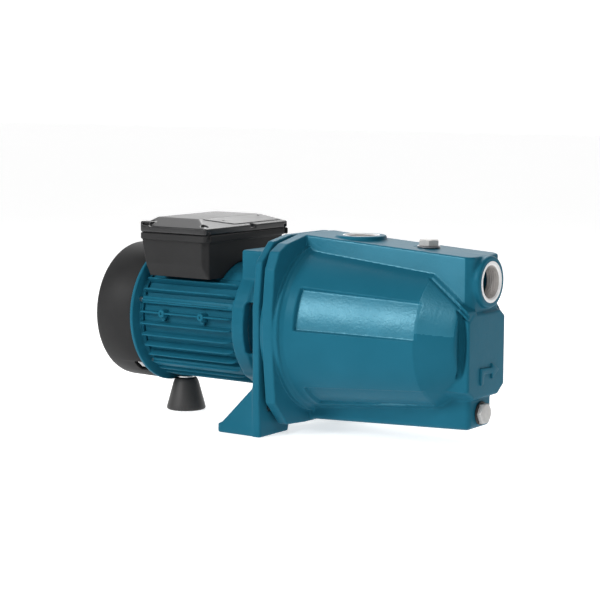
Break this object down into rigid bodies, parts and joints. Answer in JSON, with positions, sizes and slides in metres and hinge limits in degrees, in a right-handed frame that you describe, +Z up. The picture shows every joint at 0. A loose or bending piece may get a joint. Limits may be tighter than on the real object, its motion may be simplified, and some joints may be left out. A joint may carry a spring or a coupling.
{
  "type": "shallow well jet pump",
  "caption": "Self-priming shallow well jet pump with front inlet, top delivery port, finned motor, terminal box, bracket feet and rear rubber foot.",
  "frame": {"origin": "middle of the base: on the floor under the centre of the outer box", "axes": "+X along the shaft towards the inlet, +Z up, +Y across, towards the far side seen from the inlet's left"},
  "size_m": [0.4244, 0.172, 0.204],
  "materials": {
    "painted_cast_iron": "gloss enamel over cast iron",
    "painted_aluminium": "gloss enamel over cast aluminium",
    "black_plastic": "satin moulded",
    "white_polymer": "moulded",
    "seal_rubber": "matte",
    "foot_rubber": "matte",
    "zinc_steel": "zinc plated",
    "machined_steel": "machined",
    "lamination": "stacked laminations",
    "copper_winding": "varnished enamel wire",
    "brass": "machined",
    "ceramic": "lapped",
    "carbon": "lapped",
    "fibre_washer": "pressed fibre"
  },
  "bodies": {
    "pump": {"pump_body": "painted_cast_iron", "motor_bracket": "painted_cast_iron", "motor_housing": "painted_aluminium", "rear_end_shield": "painted_aluminium", "body_o_ring": "seal_rubber", "diffuser": "white_polymer", "venturi_tube": "white_polymer", "ejector_nozzle": "brass", "ejector_seal": "seal_rubber", "seal_seat": "ceramic", "fan_cover": "black_plastic", "stator_core": "lamination", "front_winding": "copper_winding", "rear_winding": "copper_winding", "terminal_box_base": "black_plastic", "terminal_box_gasket": "seal_rubber", "terminal_box_lid": "black_plastic", "run_capacitor": "white_polymer", "terminal_block": "white_polymer", "cable_gland": "black_plastic", "gland_nut": "black_plastic", "rubber_foot": "foot_rubber", "foot_washer": "zinc_steel", "foot_screw": "zinc_steel", "flange_bolt_1": "zinc_steel", "tie_bolt_1": "zinc_steel", "lid_screw_1": "zinc_steel", "flange_bolt_2": "zinc_steel", "tie_bolt_2": "zinc_steel", "lid_screw_2": "zinc_steel", "flange_bolt_3": "zinc_steel", "tie_bolt_3": "zinc_steel", "lid_screw_3": "zinc_steel", "flange_bolt_4": "zinc_steel", "tie_bolt_4": "zinc_steel", "lid_screw_4": "zinc_steel", "front_bearing_outer_race": "machined_steel", "rear_bearing_outer_race": "machined_steel"},
    "rotor": {"shaft": "machined_steel", "rotor_core": "lamination", "impeller": "brass", "impeller_key": "machined_steel", "impeller_nut": "machined_steel", "seal_ring": "carbon", "seal_bellows": "seal_rubber", "slinger": "seal_rubber", "cooling_fan": "black_plastic", "front_bearing_inner_race": "machined_steel", "rear_bearing_inner_race": "machined_steel"},
    "front_cage": {"front_ball_cage": "machined_steel"},
    "rear_cage": {"rear_ball_cage": "machined_steel"},
    "priming_washer": {"priming_plug_washer": "fibre_washer"},
    "priming_plug": {"priming_plug": "zinc_steel"},
    "drain_washer": {"drain_plug_washer": "fibre_washer"},
    "drain_plug": {"drain_plug": "zinc_steel"}
  },
  "joints": [
    {"name": "shaft_spin", "type": "hinge", "parent": "pump", "child": "rotor", "pos_m": [0.0122, 0, 0.102], "axis": [1, 0, 0], "continuous": true},
    {"name": "front_cage_spin", "type": "hinge", "parent": "pump", "child": "front_cage", "pos_m": [-0.0398, 0, 0.102], "axis": [1, 0, 0], "continuous": true},
    {"name": "rear_cage_spin", "type": "hinge", "parent": "pump", "child": "rear_cage", "pos_m": [-0.1655, 0, 0.102], "axis": [1, 0, 0], "continuous": true},
    {"name": "priming_plug_lift", "type": "slide", "parent": "pump", "child": "priming_washer", "axis": [0, 0, 1], "range_m": [0, 0.00822]},
    {"name": "priming_plug_turn", "type": "hinge", "parent": "priming_washer", "child": "priming_plug", "pos_m": [0.1442, 0, 0.185], "axis": [0, 0, 1], "range_deg": [0, 2160]},
    {"name": "drain_plug_shift", "type": "slide", "parent": "pump", "child": "drain_washer", "axis": [1, 0, 0], "range_m": [0, 0.00822]},
    {"name": "drain_plug_turn", "type": "hinge", "parent": "drain_washer", "child": "drain_plug", "pos_m": [0.2022, 0, 0.033], "axis": [1, 0, 0], "range_deg": [0, 2160]}
  ],
  "couplings": [
    {"joint": "front_cage_spin", "follows": "shaft_spin", "ratio": 0.3979},
    {"joint": "rear_cage_spin", "follows": "shaft_spin", "ratio": 0.3979},
    {"joint": "priming_plug_lift", "follows": "priming_plug_turn", "m_per_rad": 0.00021279},
    {"joint": "drain_plug_shift", "follows": "drain_plug_turn", "m_per_rad": 0.00021279}
  ]
}
